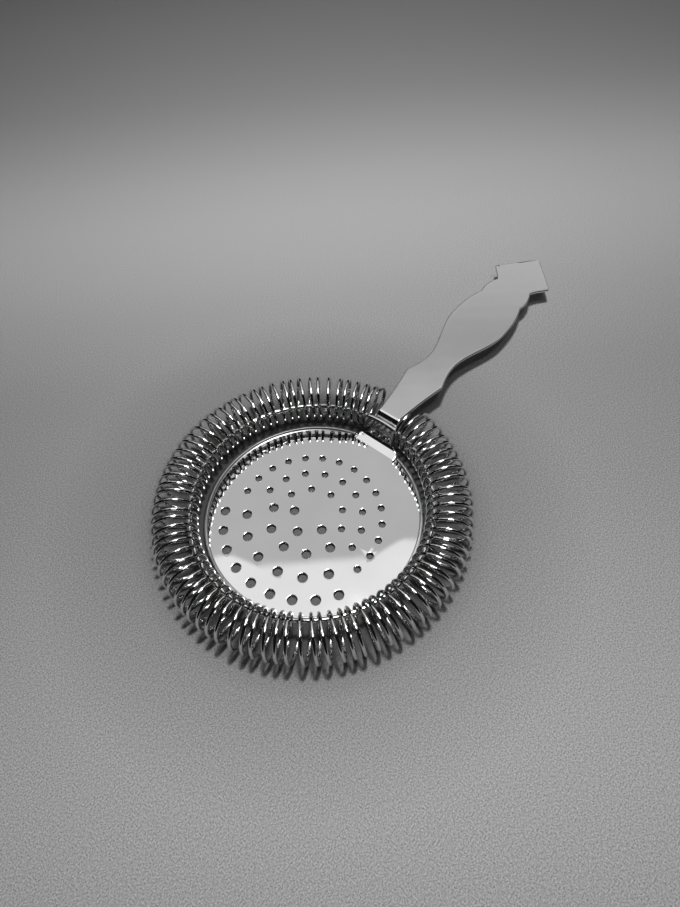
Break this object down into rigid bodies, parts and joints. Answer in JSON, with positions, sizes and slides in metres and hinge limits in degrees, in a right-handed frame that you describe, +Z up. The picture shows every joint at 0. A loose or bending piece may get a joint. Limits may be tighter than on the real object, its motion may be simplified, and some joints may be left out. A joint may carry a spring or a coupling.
{
  "type": "hawthorne strainer",
  "caption": "Cocktail strainer: very shallow perforated steel dish with a flat shaped handle, a wire ring at the neck and a coil spring threaded on the ring all round the dish.",
  "frame": {"origin": "centre of the dish's round underside, on the plane the strainer stands on", "axes": "+X from the dish's centre along the handle, +Z up out of the dish, +Y across the handle to its left when looking along +X"},
  "size_m": [0.1846, 0.097, 0.0144],
  "materials": {
    "polished_sheet": "polished stainless sheet, faint rubbed marks",
    "ring_wire": "bright drawn stainless wire",
    "weld_metal": "dull silver solder or weld metal",
    "spring_wire": "mirror-bright spring wire"
  },
  "bodies": {
    "strainer": {"strainer_body": "polished_sheet", "carrier_ring": "ring_wire", "ring_weld": "weld_metal"},
    "spring": {"coil_spring": "spring_wire"}
  },
  "joints": [
    {"name": "spring_creep", "type": "hinge", "parent": "strainer", "child": "spring", "pos_m": [0, 0, 0], "axis": [0, 0, 1], "range_deg": [-1.5, 1.2]}
  ]
}
